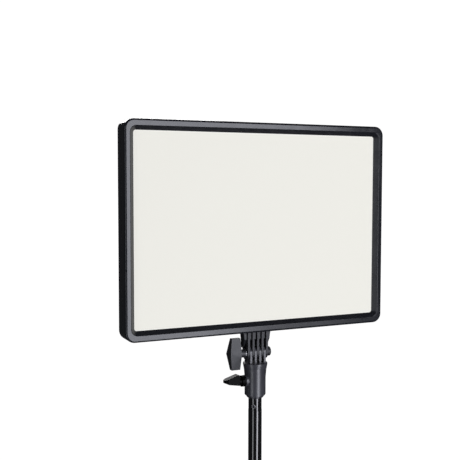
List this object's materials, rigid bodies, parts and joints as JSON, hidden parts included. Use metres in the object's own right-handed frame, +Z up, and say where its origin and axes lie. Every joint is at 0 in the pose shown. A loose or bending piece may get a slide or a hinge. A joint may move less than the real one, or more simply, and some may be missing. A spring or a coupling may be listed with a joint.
{
  "type": "led panel light",
  "caption": "Rectangular edge-lit LED panel light with a white diffuser in a black frame, on a finned tilt bracket and clamp socket that turns on a round stand tube.",
  "frame": {"origin": "centre of the stand tube's lower end, where the rest of a stand would join", "axes": "+Z up along the stand tube, the light faces -Y, +X to the right when looking at the back of the light"},
  "size_m": [0.344, 0.0501, 0.431],
  "materials": {
    "black_abs": "satin moulded",
    "housing_abs": "fine texture",
    "bracket_nylon": "satin moulded",
    "knob_nylon": "satin moulded",
    "yoke_nylon": "satin moulded",
    "paddle_nylon": "smooth moulded",
    "dial_plastic": "soft satin",
    "rocker_plastic": "gloss",
    "opal_acrylic": "matt opal",
    "clear_acrylic": "polished",
    "smoked_window": "polished",
    "white_film": "white film",
    "black_foam": "closed-cell foam",
    "pan_aluminium": "rolled",
    "strip_board": "white solder mask",
    "led_package": "phosphor",
    "green_board": "solder mask",
    "ferrite": "sintered",
    "capacitor_can": "sleeved can",
    "chip_epoxy": "epoxy",
    "display_glass": "liquid-crystal glass",
    "zinc_steel": "zinc plated",
    "black_screw": "black oxide",
    "bolt_steel": "zinc plated",
    "insert_brass": "turned",
    "pressure_nylon": "natural nylon",
    "gloss_black_tube": "gloss black",
    "spigot_aluminium": "turned",
    "plug_nylon": "moulded"
  },
  "bodies": {
    "stand": {"stand_tube": "gloss_black_tube", "tube_plug": "plug_nylon", "spigot": "spigot_aluminium", "tube_rivet": "black_screw"},
    "socket": {"stand_socket": "bracket_nylon", "socket_liner": "bracket_nylon", "clamp_insert": "insert_brass"},
    "clamp_screw": {"clamp_knob": "paddle_nylon", "clamp_stud": "bolt_steel", "clamp_pad": "pressure_nylon"},
    "tilt_lock": {"tilt_knob": "knob_nylon", "tilt_bolt": "bolt_steel", "tilt_washer": "zinc_steel"},
    "brightness_control": {"brightness_dial": "dial_plastic", "brightness_shaft": "bolt_steel"},
    "colour_control": {"colour_dial": "dial_plastic", "colour_shaft": "bolt_steel"},
    "rocker": {"power_rocker": "rocker_plastic"},
    "light_head": {"front_bezel": "black_abs", "rear_cover": "black_abs", "window_gasket": "black_foam", "diffuser": "opal_acrylic", "light_guide": "clear_acrylic", "reflector_sheet": "white_film", "back_pan": "pan_aluminium", "led_strip_left": "strip_board", "led_strip_right": "strip_board", "leds_left": "led_package", "leds_right": "led_package", "cover_screws": "black_screw", "control_housing": "housing_abs", "housing_screws": "black_screw", "control_board": "green_board", "board_screws": "zinc_steel", "display_module": "display_glass", "display_window": "smoked_window", "brightness_encoder": "zinc_steel", "colour_encoder": "zinc_steel", "power_switch": "rocker_plastic", "power_inlet": "chip_epoxy", "inlet_pin": "insert_brass", "driver_board": "green_board", "driver_screws": "zinc_steel", "driver_choke": "ferrite", "driver_capacitors": "capacitor_can", "driver_chips": "chip_epoxy", "yoke_plate": "zinc_steel", "yoke_screws": "zinc_steel", "tilt_yoke": "yoke_nylon", "nut_cap": "yoke_nylon", "tilt_nut": "bolt_steel"}
  },
  "joints": [
    {"name": "pan", "type": "hinge", "parent": "stand", "child": "socket", "pos_m": [0, 0, 0.115], "axis": [0, 0, 1], "continuous": true},
    {"name": "clamp_turn", "type": "hinge", "parent": "socket", "child": "clamp_screw", "pos_m": [-0.03, 0, 0.1162], "axis": [1, 0, 0], "continuous": true},
    {"name": "tilt", "type": "hinge", "parent": "socket", "child": "light_head", "pos_m": [0, 0, 0.1505], "axis": [1, 0, 0], "range_deg": [-90, 90]},
    {"name": "tilt_lock_turn", "type": "hinge", "parent": "light_head", "child": "tilt_lock", "pos_m": [-0.03, 0, 0.1505], "axis": [1, 0, 0], "continuous": true},
    {"name": "brightness_turn", "type": "hinge", "parent": "light_head", "child": "brightness_control", "pos_m": [-0.042, 0.019, 0.214], "axis": [0, 1, 0], "continuous": true},
    {"name": "colour_turn", "type": "hinge", "parent": "light_head", "child": "colour_control", "pos_m": [0.042, 0.019, 0.214], "axis": [0, 1, 0], "continuous": true},
    {"name": "power_rock", "type": "hinge", "parent": "light_head", "child": "rocker", "pos_m": [0.066, 0.0184, 0.214], "axis": [1, 0, 0], "range_deg": [-16, 0]}
  ]
}
